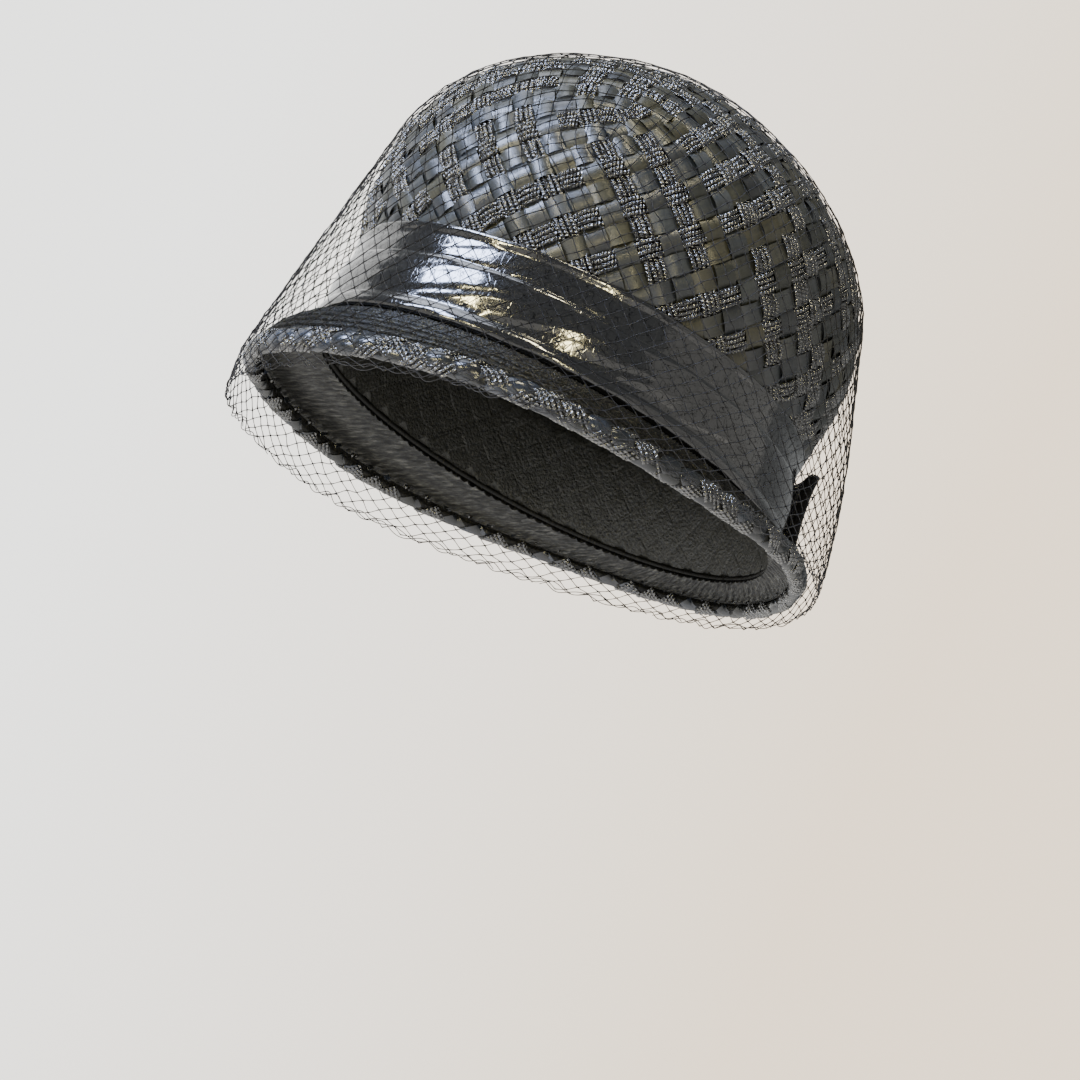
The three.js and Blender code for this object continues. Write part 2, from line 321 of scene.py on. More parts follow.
def relax(nodes, strands, place, side, depth, slack, rounds=200, pace=0.22):
    # evens the crossings out: every stretch of strand pulls or pushes towards slack times side
    links = np.array([(a[0], b[0]) for strand in strands for a, b in zip(strand[:-1], strand[1:])])
    free = norm(nodes) < depth
    nodes = nodes.copy()
    for _ in range(rounds):
        points = place(nodes)
        across, ahead = slopes(place, nodes)
        gap = points[links[:, 1]] - points[links[:, 0]]
        pull = gap * (1 - slack * side / norm(gap))[:, None]
        force = np.zeros_like(points)
        np.add.at(force, links[:, 0], pull)
        np.add.at(force, links[:, 1], -pull)
        a, b, c = (across * across).sum(1), (across * ahead).sum(1), (ahead * ahead).sum(1)
        e, g = (across * force).sum(1), (ahead * force).sum(1)
        step = np.stack([c * e - b * g, a * g - b * e], axis=1) / (a * c - b * b)[:, None]
        nodes[free] += pace * step[free]
    return nodes


def alongStrand(nodes, strand, perCell):
    # a smooth path through the crossings, with the count of crossings passed at each point
    knots = nodes[[node for node, _ in strand]]
    ends = np.concatenate([[2 * knots[0] - knots[1]], knots, [2 * knots[-1] - knots[-2]]])
    t = np.linspace(0, len(knots) - 1, (len(knots) - 1) * perCell + 1)
    cell = np.minimum(t.astype(int), len(knots) - 2)
    u = (t - cell)[:, None]
    p0, p1, p2, p3 = (ends[cell + k] for k in range(4))
    bend, twist = 2 * p0 - 5 * p1 + 4 * p2 - p3, 3 * p1 - p0 - 3 * p2 + p3
    return 0.5 * (2 * p1 + (p2 - p0) * u + bend * u ** 2 + twist * u ** 3), t


# Woven crown: flat satin straw and bundles of glossy crimped cord, over one, under one

weave = {
    "across": 13,  # strands from the middle of the top's square to its corner
    "pitch": 7.9, "patch": 90.0, "slack": 0.8,
    "sequence": "RRCRCCRRCRCRC",  # R flat straw, C cords
    "shift": 5,  # the crossing strands start the sequence this many places on
    "lift": 0.95, "square": 0.8,  # height and bluntness of the over and under wave
    "bandTop": 37, "bandFade": 4, "underBand": 0.4,  # pressed flatter where the hatband covers it
    "ribbonWidth": 7.6, "ribbonUneven": 0.035, "ribbonTilt": 0.14, "ribbonEdge": 0.06,
    "ribbonNip": 0.05, "cordNip": 0.06,  # drawn in between the crossings
    "cellTint": 0.75,  # the rest of a tint belongs to the whole strand
    "cords": 4, "cordStep": 1.8, "cordRadius": 0.86, "cordSink": 0.15,
    "cordDrift": 0.15, "cordRough": 0.17, "cordUneven": 0.08,
    "beads": 6, "crimp": 0.12,  # crimps of a cord in one crossing, and how much they swell it
    "insideDepth": 1.4, "insideLift": 0.42, "insideHalf": 0.49, "insideRidge": 0.3, "insideArch": 0.08,
    "grain": 4, "ribbonGrain": 40, "insideGrain": 23,  # pattern's half width, and shifts between strands
    "groundDepth": 1.15, "groundHalf": 0.05,
}
beadStep = weave["pitch"] / weave["beads"]
cordTurns = np.radians([-100, -35, 35, 100])  # corners of a cord's visible side, from straight up
degreesPerMm = 50  # round a cord, in its pattern
cordAcross = np.degrees(cordTurns) / degreesPerMm

netNodes, netStrands = plait(weave["across"], weave["pitch"], weave["patch"], crownArc - 2)
netNodes = relax(netNodes, netStrands, onCrown, weave["pitch"], crownArc - 8, weave["slack"])
print("weave", len(netNodes), "crossings", len(netStrands), "strands")


def pathOnCrown(strand, perCell):
    # the strand's middle line, its over and under wave, and the ways off the hat and across it
    w = weave
    path, t = alongStrand(netNodes, strand, perCell)
    inside = norm(path) < crownArc - 0.5
    path, t = path[inside], t[inside]
    wave = np.cos(pi * t) * strand[0][1]
    wave = np.sign(wave) * np.abs(wave) ** w["square"]
    past = norm(path) - arcAtHeight(w["bandTop"])
    lift = wave * mix(1, w["underBand"], np.clip(past / w["bandFade"], 0, 1))
    points, normal = onCrown(path), outward(onCrown, path)
    return t, lift, points, normal, np.cross(unit(np.gradient(points, axis=0)), normal)


def layStrip(line, aside, lifted, along, across, tint):
    # a strip beside a strand's middle line: how far aside and how far off the hat its points lie
    points, normal, side = line
    grid = points[:, None] + side[:, None] * aside[..., None] + normal[:, None] * lifted[..., None]
    return layGrid(grid, along, across, tint)


def weaveRibbon(strand, number):
    w = weave
    t, lift, *line = pathOnCrown(strand, 8)
    crossings = np.arange(len(strand))
    tints = random.random(len(strand)) * w["cellTint"] + (1 - w["cellTint"]) * random.random()
    widths = w["ribbonWidth"] * (1 + w["ribbonUneven"] * random.normal(size=len(strand)))
    width = np.interp(t, crossings, widths) * (1 - w["ribbonNip"] * (1 - np.abs(lift)))
    tilt = np.interp(t, crossings, w["ribbonTilt"] * random.normal(size=len(strand)))
    shares = np.array([-1, 0, 1])
    lifted = w["lift"] * lift[:, None] - w["ribbonEdge"] * np.abs(shares) + tilt[:, None] * shares
    return layStrip(
        line, shares * width[:, None] / 2, lifted,
        t[:, None] * w["pitch"] + w["ribbonGrain"] * number,
        shares * w["grain"], tints[np.round(t).astype(int)][:, None],
    )


def weaveCords(strand):
    w = weave
    t, lift, *line = pathOnCrown(strand, 2 * w["beads"])
    halves = np.arange(0, len(strand) + 2, 0.5)
    fat = np.cos(2 * pi * w["beads"] * t)
    strips = []
    for cord in range(w["cords"]):
        middle = (cord - (w["cords"] - 1) / 2) * w["cordStep"]
        drift = np.interp(t, halves, w["cordDrift"] * random.normal(size=len(halves)))
        rough = np.interp(t, halves, w["cordRough"] * random.normal(size=len(halves)))
        swell = w["crimp"] * fat * (-1) ** cord + w["cordUneven"] * random.normal(size=len(t))
        radius = (w["cordRadius"] * (1 + swell))[:, None]
        reach = middle * (1 - w["cordNip"] * (1 - np.abs(lift))) + drift
        height = w["lift"] * lift + rough - w["cordSink"]
        aside, lifted = radius * np.sin(cordTurns), radius * np.cos(cordTurns)
        strips.append(layStrip(
            line, reach[:, None] + aside, height[:, None] + lifted,
            t[:, None] * w["pitch"] + (cord % 2) * beadStep / 2,
            cordAcross, random.random(),
        ))
    return strips


def weaveInside(strand, number, kind):
    # the same strand seen from inside the hat
    w = weave
    t, lift, *line = pathOnCrown(strand, 4)
    shares = np.linspace(-1, 1, 2 * w["cords"] + 1 if kind == "C" else 3)
    relief = w["insideRidge"] if kind == "C" else w["insideArch"]
    lifted = w["insideLift"] * lift[:, None] - w["insideDepth"] - relief * (np.arange(len(shares)) % 2)
    return layStrip(
        line, shares[::-1] * w["insideHalf"] * w["pitch"], lifted,
        t[:, None] * w["pitch"] + w["insideGrain"] * number,
        shares * w["grain"], random.random(),
    )


def weaveCrown():
    ribbons, cords, inner = [], [[], []], []
    sequence = weave["sequence"]
    for number, strand in enumerate(netStrands):
        kind = sequence[(number // 2 + number % 2 * weave["shift"]) % len(sequence)]
        if kind == "R":
            ribbons.append(weaveRibbon(strand, number))
        else:
            for cord, strip in enumerate(weaveCords(strand)):
                cords[(cord + number) % 2].append(strip)
        inner.append(weaveInside(strand, number, kind))
    return ribbons, cords, inner


# Satin straw: rayon straw in flat strips, calendered smooth; it shows a broad cool sheen with lines
# along it, drawn about 0.4 mm wide, coarser than the real ones, so that they show

crownShades = [
    (0.0, "#1d1f22"), (0.25, "#2c3034"), (0.5, "#24261f"),
    (0.68, "#3d3b2a"), (0.8, "#33373a"), (1.0, "#3a3f45"),
]
# painted shade and painted sheen: the roll's straw is the crown's straw, its colours set darker as shade and
# bluer as a cool sheen
edgePaintedShadeAndSheen = [(0.0, "#15171b"), (0.3, "#202429"), (0.55, "#1b1c18"), (0.75, "#292e37"), (1.0, "#343a46")]


def satinStraw(name, shades, smooth, coarse):
    material, add = newMaterial(name, {"IOR": 1.5, "Specular IOR Level": 0.7})
    place = strandPlace(add, "along", "across", "tint")
    tint = add("Attribute", {"attribute_name": "tint"}, "Fac")
    stretched = add("Mapping", {"Vector": place, "Scale": (0.1, 2.4, 1.0)})
    streaks = add("TexNoise", {"Vector": stretched, "Scale": 1.0, "Detail": 4.0, "Roughness": 0.65})
    colour = add("ValToRGB", {"Fac": tint, "stops": shades})
    lines = add("ValToRGB", {"Fac": streaks, "stops": [(0.3, "#b4b4b4"), (0.75, "#ffffff")]})
    multiply = {"data_type": "RGBA", "blend_type": "MULTIPLY", 0: 1.0, 6: colour, 7: lines}
    rough = add("MapRange", {"Value": streaks, "To Min": smooth, "To Max": coarse})
    bump = add("Bump", {"Height": streaks, "Strength": 0.4, "Distance": 0.0002})
    return feed(material, {"Base Color": add("Mix", multiply, 2), "Roughness": rough, "Normal": bump})


# Crimped cord: cellophane straw twisted into cord; nearly black, and each crimp throws a sharp glint


def crimpedCord():
    material, add = newMaterial("crimpedCord", {
        "IOR": 1.52, "Specular IOR Level": 0.9, "Coat Weight": 1.0, "Coat Roughness": 0.06, "Coat IOR": 1.55,
    })
    place = strandPlace(add, "along", "across", "tint")
    along, across = (add("Attribute", {"attribute_name": name}, "Fac") for name in ("along", "across"))
    crumpled = {"Scale": 0.9, "Detail": 2.5, "Roughness": 0.65, "Distortion": 0.3}
    crimps = add("TexNoise", {"Vector": place, **crumpled})
    # the twist: one slanting turn of the straw for each crimp
    slant = 2 * pi / beadStep
    turn = add("Math", {"operation": "MULTIPLY_ADD", 0: along, 1: slant, 2: across})
    lay = add("Math", {"operation": "COSINE", 0: turn})
    twist = add("Math", {"operation": "MULTIPLY_ADD", 0: lay, 1: 0.36, 2: crimps})
    # painted highlight and painted shade: the colour follows the twist, lighter olive on each crimp's crest
    # and near black in the waists between, with the crimps' random tone over it
    dark = add("ValToRGB", {"Fac": twist, "stops": [(0.3, "#040404"), (0.7, "#151513"), (1.0, "#34322a")]})
    glossy = {"From Min": 0.3, "From Max": 0.7, "To Min": 0.05, "To Max": 0.22}
    rough = add("MapRange", {"Value": crimps, **glossy})
    bump = add("Bump", {"Height": twist, "Strength": 1.0, "Distance": 0.00045})
    return feed(material, {"Base Color": dark, "Roughness": rough, "Normal": bump, "Coat Normal": bump})


# Woven ground: the inner face of the same plaiting, unpressed, dull and dark


def wovenGround():
    material, add = newMaterial("wovenStrawInside", {"IOR": 1.5, "Roughness": 0.5})
    place = strandPlace(add, "along", "across")
    grain = add("TexNoise", {"Vector": place, "Scale": 0.8, "Detail": 5.0})
    colour = add("ValToRGB", {"Fac": grain, "stops": [(0.3, "#151516"), (0.5, "#26261f"), (0.8, "#3a3a36")]})
    bump = add("Bump", {"Height": grain, "Strength": 0.6, "Distance": 0.001})
    return feed(material, {"Base Color": colour, "Normal": bump})


def groundShell():
    # a thin dark ground between the strands, so that no light comes through where four of them meet
    angles = np.linspace(0, 2 * pi, 97)[:-1]
    downs = np.linspace(0.5, crownArc, 45)
    flat = downs[:, None, None] * np.stack([np.sin(angles), -np.cos(angles)], axis=-1)[None]
    points, normal = onCrown(flat), outward(onCrown, flat)
    normal[-1] = normal[-2]  # the form ends here, so the last row takes the slope above it
    depth, half = weave["groundDepth"], weave["groundHalf"]
    grid = np.concatenate([points - normal * (depth - half), (points - normal * (depth + half))[::-1]])
    along = np.concatenate([downs, downs[::-1]])[:, None]
    return layGrid(grid, along, (angles * crownForm["reach"]), closed=True)


ribbonGrids, cordGrids, innerGrids = weaveCrown()
makePiece("crown_flat_straw", ribbonGrids, satinStraw("satinStraw", crownShades, 0.26, 0.5))
cordMaterial = crimpedCord()
makePiece("crown_cords", cordGrids[0], cordMaterial)
makePiece("crown_cords_between", cordGrids[1], cordMaterial)
groundMaterial = wovenGround()
makePiece("crown_inside_weave", innerGrids, groundMaterial)
crownGround = makePiece("crown_ground", [groundShell()], groundMaterial)
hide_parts("crown")

# Brim: a straw wall turning down and out from the crown, rolled over at the edge

brimForm = {
    "baseStand": -1.8, "baseHeight": 0.3,
    "rimLength": 110.4, "rimWidth": 100.2, "rimCentre": -3.5,
    "drop": 13.9, "frontDip": 7.5, "wave": 1.2,
    "out": 0.95, "down": 0.35, "wall": 1.6,
    "rollOut": 2.5, "rollUp": 3.9, "rollFrom": 105, "rollTo": -165, "rollRows": 20,
    "reach": 103,  # from the middle to the middle of the brim
}


def ovalPoint(angle, length, width, centre, height):
    across, ahead = width * np.sin(angle), centre - length * np.cos(angle)
    return np.stack(np.broadcast_arrays(across, ahead, height), axis=-1)


def rimHeight(angle):
    f = brimForm
    return -(f["drop"] + f["frontDip"] * np.cos(angle) + f["wave"] * np.cos(4 * angle))


def brimPoint(angle, share, depth):
    # angle round from the front, share of the way out, depth below the upper face
    f, c = brimForm, crownForm
    angle, share, depth = np.broadcast_arrays(angle, share, depth)
    length, width = c["baseLength"] + f["baseStand"], c["baseWidth"] + f["baseStand"]
    start = ovalPoint(angle, length, width, c["baseCentre"], f["baseHeight"])
    end = ovalPoint(angle, f["rimLength"], f["rimWidth"], f["rimCentre"], rimHeight(angle))
    out, down = (2 * share * (1 - share) * f[way] + share ** 2 for way in ("out", "down"))
    slopeOut, slopeDown = (2 * (1 - 2 * share) * f[way] + 2 * share for way in ("out", "down"))
    across = (end - start) * np.array([1, 1, 0])
    fall = (start - end)[..., 2]
    width = norm(across)
    run, dip = width * slopeOut, fall * slopeDown
    point = start + across * out[..., None]
    point[..., 2] -= fall * down
    long = np.hypot(run, dip)
    point = point - across / width[..., None] * (depth * dip / long)[..., None]
    point[..., 2] -= depth * run / long
    return point


def rollPoint(angle, turn, lift=0.0):
    # the roll round the edge: turn 0 faces outwards, 90 degrees upwards
    f = brimForm
    angle, turn = np.broadcast_arrays(angle, turn)
    away = np.stack([np.sin(angle), -np.cos(angle), 0 * angle], axis=-1)
    reach = (f["rollOut"] + lift) * np.cos(np.radians(turn))
    point = brimPoint(angle, 1.0, f["wall"] / 2) + away * reach[..., None]
    point[..., 2] += (f["rollUp"] + lift) * np.sin(np.radians(turn))
    return point


rimAngles = np.linspace(0, 2 * pi, 721)[:-1]
rimSteps = norm(np.diff(brimPoint(rimAngles, 1.0, 0.0), axis=0))
rimArc = np.concatenate([[0], np.cumsum(rimSteps)])
rimRound = rimArc[-1] + rimArc[1]


def angleAtArc(arc):
    return np.interp(np.mod(arc, rimRound), rimArc, rimAngles)


def roundHat(count):
    # angles round the hat that start and end at the back, where the join lies behind the bow
    return pi + np.linspace(0, 2 * pi, count + 1)


def brimGrid():
    # the brim's wall: its upper face, round the roll and back along its underside
    f = brimForm
    angles = roundHat(360)[:-1]
    shares = np.linspace(0.0, 0.95, 9)
    upper = brimPoint(angles, shares[:, None], 0.1)
    roll = rollPoint(angles, np.linspace(f["rollFrom"], f["rollTo"], f["rollRows"])[:, None])
    under = brimPoint(angles, np.linspace(0.9, 0.0, 5)[:, None], f["wall"])
    grid = np.concatenate([upper, roll, under, upper[:1]])
    # mm down the wall; the hidden underside has one value
    across = np.concatenate([shares * 16, 17 + np.arange(f["rollRows"]) * 0.7, np.full(len(under) + 1, 34.0)])
    return layGrid(grid, (angles * f["reach"]), across[:, None], closed=True)


# Dull cord: rayon cord laid side by side; olive black, with a dry broken shine


def dullCord(name, spread, shades):
    material, add = newMaterial(name, {"IOR": 1.5, "Specular IOR Level": 0.25})
    place = strandPlace(add, "along", "across", "tint")
    stretched = add("Mapping", {"Vector": place, "Scale": spread})
    knots = add("TexNoise", {"Vector": stretched, "Scale": 1.0, "Detail": 4.0, "Roughness": 0.7})
    stops = list(zip((0.38, 0.5, 0.6, 0.7), shades))
    dark = add("ValToRGB", {"Fac": knots, "stops": stops})
    dry = {"From Min": 0.35, "From Max": 0.7, "To Min": 0.5, "To Max": 0.26}
    rough = add("MapRange", {"Value": knots, **dry})
    bump = add("Bump", {"Height": knots, "Strength": 1.0, "Distance": 0.0006})
    return feed(material, {"Base Color": dark, "Roughness": rough, "Normal": bump})


brimMaterial = dullCord("dullBrimCord", (0.75, 0.5, 5.0), ("#050504", "#0e0e0b", "#1c1b14", "#403e2e"))
brimStraw = makePiece("brim_straw", [brimGrid()], brimMaterial)
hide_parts("brim")

# Cords on the brim's upper face: beaded rows that follow the edge

brimCord = {
    "rows": 9, "from": 0.08, "to": 0.97,
    "wander": [(0.010, 17, 1), (0.008, 41, 2)],  # size, waves round the hat, shift from row to row
    "radius": 0.84, "beads": 380, "crimp": 0.3, "uneven": 0.05,
}


def brimCords():
    f = brimCord
    grids = []
    turns = np.radians([-95, -35, 35, 95])
    count = 2 * f["beads"]
    angles = roundHat(count)
    fat = (-1.0) ** np.arange(count + 1)
    for row in range(f["rows"]):
        wander = sum(size * np.sin(angles * waves + shift * row) for size, waves, shift in f["wander"])
        share = mix(f["from"], f["to"], row / (f["rows"] - 1)) + wander
        top = brimPoint(angles, share, 0.0)
        outwards = unit(brimPoint(angles, share + 0.01, 0.0) - brimPoint(angles, share - 0.01, 0.0))
        above = unit(brimPoint(angles, share, -1.0) - top)
        swell = f["crimp"] * fat * (0.5 + random.random(count + 1))
        size = f["radius"] * (1 + swell + f["uneven"] * random.normal(size=count + 1))
        size[-1] = size[0]
        ring = outwards[:, None] * np.sin(turns)[:, None] + above[:, None] * np.cos(turns)[:, None]
        along = (np.arange(count + 1) + row % 2)[:, None] * beadStep / 2
        across = np.degrees(turns) / degreesPerMm
        grids.append(layGrid(top[:, None] + size[:, None, None] * ring, along, across, random.random()))
    return grids


makePiece("brim_cords", brimCords(), brimMaterial)

# Edge wrap: the same straw and cords carried over the roll in two crossing slants

wrap = {
    "pitch": 9.6,  # from one strand to the next along the rim
    "slant": 19.5,  # how far a strand travels along the rim as it goes over
    "nudge": 0.5,  # how unevenly the strands are set along the rim
    "from": 150.0, "to": -150.0,
    "cell": 74.0, "start": 12,  # turn round the roll from one crossing to the next, and of the first
    "lift": 0.55, "square": 0.7,
    "pressed": 0.75, "pressedFrom": -45.0, "pressedOver": 35,  # the strands lie flatter under the edge
    "alongRim": 0.86, "roundRoll": 9.0,  # a strand's width: share along the rim, degrees round the roll
    "width": 7.6, "taper": 0.18, "arch": 0.5, "edge": 0.2, "stand": 0.35,
    "cords": 4, "cordStep": 1.6, "cordRadius": 0.74, "beads": 19,
    "crimp": 0.12, "cordUneven": 0.05, "cordDrift": 0.12,
    "sequence": "RRCRRCCRRCRCC", "shift": 5,
    "length": 24, "grain": 3, "ribbonGrain": 31,  # a strip's pattern: length, half width, shift
}


def wrapEdge():
    w = wrap
    ribbons, cords = [], []
    count = round(rimRound / w["pitch"])
    step = rimRound / count
    for number in range(2 * count):
        slant = 1 if number % 2 == 0 else -1
        kind = w["sequence"][(number // 2 + (0 if slant > 0 else w["shift"])) % len(w["sequence"])]
        steps = 20 if kind == "R" else 2 * w["beads"] + 1
        u = np.linspace(0, 1, steps)
        turn = mix(w["from"], w["to"], u)
        first = step * (number // 2 + (0.0 if slant > 0 else 0.5))
        arc = first + slant * w["slant"] * (u - 0.5) + w["nudge"] * random.normal()
        wave = np.cos(pi * (turn - w["start"]) / w["cell"]) * slant
        wave = np.sign(wave) * np.abs(wave) ** w["square"]
        wave = wave * (1 - w["pressed"] * np.clip((w["pressedFrom"] - turn) / w["pressedOver"], 0, 1))
        tint = random.random()

        def lay(sideways, lift):
            angle = angleAtArc(arc[:, None] + sideways * w["alongRim"])
            return rollPoint(angle, turn[:, None] + slant * sideways * w["roundRoll"], lift)

        if kind == "R":
            shares = np.array([-1, -0.93, -0.5, 0, 0.5, 0.93, 1])
            arch = -w["arch"] * np.abs(shares) ** 2 - w["edge"] * (np.abs(shares) > 0.95)
            taper = 1 - w["taper"] * (1 - np.abs(wave)[:, None])
            lift = w["lift"] * wave[:, None] + arch + w["stand"]
            grid = lay(shares * w["width"] / 2 * taper, lift)
            along = u[:, None] * w["length"] + w["ribbonGrain"] * number
            ribbons.append(layGrid(grid, along, shares * w["grain"], tint))
        else:
            for cord in range(w["cords"]):
                middle = (cord - (w["cords"] - 1) / 2) * w["cordStep"]
                swell = w["crimp"] * (-1.0) ** np.arange(steps) + w["cordUneven"] * random.normal(size=steps)
                bead = (w["cordRadius"] * (1 + swell))[:, None]
                sideways = middle + w["cordDrift"] * random.normal() + bead * np.sin(cordTurns)
                grid = lay(sideways, w["lift"] * wave[:, None] + bead * np.cos(cordTurns))
                along = (u[:, None] * w["beads"] + (cord % 2) / 2) * beadStep
                cords.append(layGrid(grid, along, cordAcross, random.random()))
    return ribbons, cords


wrapRibbons, wrapCords = wrapEdge()
# the roll's straw, with its painted shade and painted cool sheen
makePiece("edge_flat_straw", wrapRibbons, satinStraw("edgeStrawPaintedShadeAndSheen", edgePaintedShadeAndSheen, 0.12, 0.3))
makePiece("edge_cords", wrapCords, cordMaterial)

# Facing: the brim's underside, ribbed cord running out to the edge on a slant

facing = {
    "ribs": 156, "perRib": 5, "rows": 24, "from": 0.02, "to": 0.92,
    "top": 1.9, "wall": 1.2, "sunk": 0.5, "slant": 0.17, "bend": 0.012, "bends": 5,
    "relief": 1.0, "round": 0.6, "uneven": 0.25,
    "nick": 0.16, "nicks": 46, "nickShift": 2.4,  # how deep, how close, and the shift from rib to rib
    "ribWidth": 2.6, "length": 18,  # a rib in its pattern
}


def facingGrid():
    # each column of the grid follows a rib from the head opening out to the roll
    f = facing
    columns = np.arange(f["ribs"] * f["perRib"])
    rib = columns // f["perRib"]
    angles = roundHat(len(columns))[:-1]
    shares = np.linspace(f["from"], f["to"], f["rows"])
    bend = f["bend"] * np.sin(shares[:, None] * f["bends"])
    slanted = angles + f["slant"] * (shares[:, None] - 0.5) + bend
    ridge = np.abs(np.sin(pi * (columns % f["perRib"]) / f["perRib"])) ** f["round"]
    strength = 1 - f["uneven"] * (1 - random.random(f["ribs"])[rib])
    nicks = f["nick"] * np.sin(shares[:, None] * f["nicks"] + rib * f["nickShift"])
    relief = f["relief"] * ridge * (strength + nicks)
    lower = brimPoint(slanted, shares[:, None], f["top"] + f["wall"] - f["sunk"] + relief)
    upper = brimPoint(slanted[[-1, 0]], shares[[-1, 0]][:, None], f["top"])
    grid = np.concatenate([lower, upper, lower[:1]])
    across = (columns / f["perRib"] * f["ribWidth"])
    along = np.concatenate([shares, shares[[-1, 0, 0]]])[:, None] * f["length"]
    return layGrid(grid, along, across, closed=True)


# painted light: the facing's own dark grey cord, its colours set lighter for the light thrown up on it from
# below
facingMaterial = dullCord("dullFacingCordPaintedUplight", (0.3, 0.7, 1.0), ("#131313", "#2a2a28", "#434340", "#62615b"))
brimFacing = makePiece("facing_ribs", [facingGrid()], facingMaterial)
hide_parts("brim_facing")

# Hatband: patent cloth folded into three tiers, each lapping the one above it

band = {
    "shape": [  # height up the crown, how far it stands off it
        (0.5, 0.5), (0.1, 1.1), (0.25, 1.8), (0.8, 2.5), (1.7, 3.0), (2.8, 3.2), (3.9, 3.1), (4.9, 2.75),
        (5.7, 2.3), (6.2, 1.8), (6.6, 1.6), (7.1, 1.65), (8.0, 1.8), (9.5, 2.15), (11.5, 2.6), (14.0, 3.06),
        (16.0, 3.32), (18.0, 3.48), (20.0, 3.52), (21.6, 3.44), (22.9, 3.2), (23.8, 2.75), (23.95, 2.2),
        (24.3, 1.75), (25.4, 1.95), (27.0, 2.1), (29.0, 2.2), (31.5, 2.3), (33.6, 2.35), (35.2, 2.25),
        (36.1, 1.9), (36.4, 1.4), (36.2, 0.9), (35.4, 0.65), (27.0, 0.5), (18.0, 0.4), (9.0, 0.4), (0.5, 0.5),
    ],
    "between": 3,  # rows for each step of the shape
    "hidden": 0.6,  # what stands off less than this is out of sight and stays smooth
    "creases": [(0.03, 0.7, (5, 11, 17), 0.10), (-0.05, 2.1, (23, 37), 0.05)],  # slant, phase, waves, size
    "lips": [(23.5, 2.5, 0.6), (6.2, 1.6, 0.35)],  # height, spread and size of the laps' uneven edges
    "lipPhase": 1.3, "lipWaves": (3, 7, 12),
}


def soft(x, phase, waves):
    # a slow uneven wave round the hat, from whole numbers of waves
    return sum(np.sin(x * count + phase * (k + 1)) / (k + 1) for k, count in enumerate(waves))


def bandGrid():
    f = band
    angles = roundHat(360)[:-1]
    rows = np.array(f["shape"])
    fine = np.linspace(0, len(rows) - 1, f["between"] * (len(rows) - 1) + 1)
    height, stand = (np.interp(fine, np.arange(len(rows)), column)[:, None] for column in rows.T)
    for table in (height, stand):  # rounds the corners of the straight interpolation
        table[1:-1] = (table[:-2] + 2 * table[1:-1] + table[2:]) / 4
    shown = np.clip(stand - f["hidden"], 0, 1)
    for slant, phase, waves, size in f["creases"]:
        stand = stand + shown * soft(angles + slant * height, phase, waves) * size
    lip = sum(np.exp(-((height - at) / spread) ** 2) * size for at, spread, size in f["lips"])
    height = height + shown * lip * soft(angles, f["lipPhase"], f["lipWaves"])
    length, width, centre = crownSection(height)
    points = ovalPoint(angles, length + stand, width + stand, centre, height)
    return layGrid(points, (angles * crownForm["reach"]), height, closed=True)


# Patent cloth: cotton under a thick poured plastic coat; black and wet-looking, with dust on it and
# crazing in cells a few millimetres wide


def patentCloth():
    material, add = newMaterial("patentCloth", {
        "IOR": 1.5, "Specular IOR Level": 0.6, "Coat Weight": 1.0, "Coat Roughness": 0.03, "Coat IOR": 1.55,
    })
    place = strandPlace(add, "along", "across")
    slow = add("Mapping", {"Vector": place, "Scale": (0.06, 0.14, 1.0)})
    swell = add("TexNoise", {"Vector": slow, "Scale": 1.0, "Detail": 2.0})
    cracked = add("Mapping", {"Vector": place, "Scale": (0.45, 0.22, 1.0)})
    craze = add("TexVoronoi", {"feature": "DISTANCE_TO_EDGE", "Vector": cracked, "Scale": 1.0})
    line = add("MapRange", {"Value": craze, "From Max": 0.05})
    dust = add("TexNoise", {"Vector": place, "Scale": 0.9, "Detail": 6.0, "Roughness": 0.75})
    black = [(0.45, "#070708"), (0.72, "#121317"), (0.85, "#24252b")]
    colour = add("ValToRGB", {"Fac": dust, "stops": black})
    smudged = {"From Min": 0.35, "From Max": 0.8, "To Min": 0.06, "To Max": 0.32}
    rough = add("MapRange", {"Value": dust, **smudged})
    swollen = add("Bump", {"Height": swell, "Strength": 0.22, "Distance": 0.0005})
    bump = add("Bump", {"Height": line, "Normal": swollen, "Strength": 0.12, "Distance": 0.0001})
    return feed(material, {"Base Color": colour, "Roughness": rough, "Normal": bump, "Coat Normal": bump})


hatband = makePiece("patent_band", [bandGrid()], patentCloth())
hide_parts("hatband")

# Bow: two flat velvet loops and a wrapped knot at the back, over the band

bowForm = {
    "low": 1.5, "high": 35.5, "stand": 3.4, "lean": 2.4, "pressed": 0.72,
    "length": 46.0, "wall": 1.2, "pinch": 2.8, "belly": 5.0, "endTurn": 75,
    "tucked": 1.0,  # how far a loop reaches in under the knot
    "gather": 2.2, "gatherLow": 3.6, "gatherHigh": 4.2,  # how soon it ends, and how far it draws in
    "fold": 0.75, "folds": 21, "swell": 0.125, "swells": 7, "swellSlant": 4,
    "knotHalf": 8.0, "knotLow": 3.5, "knotHigh": 33.0, "knotThick": 5.4, "knotThin": 0.35,
    "knotStand": 0.3, "knotRidge": 0.7, "knotRidges": 9.5, "knotWave": 0.2, "knotWaist": 0.06,
}


def atBack(side, out, height, stand):
    length, width, centre = crownSection(height)
    angle = pi - side * out / crownForm["waistLength"]
    return ovalPoint(angle, length + stand, width + stand, centre, height)


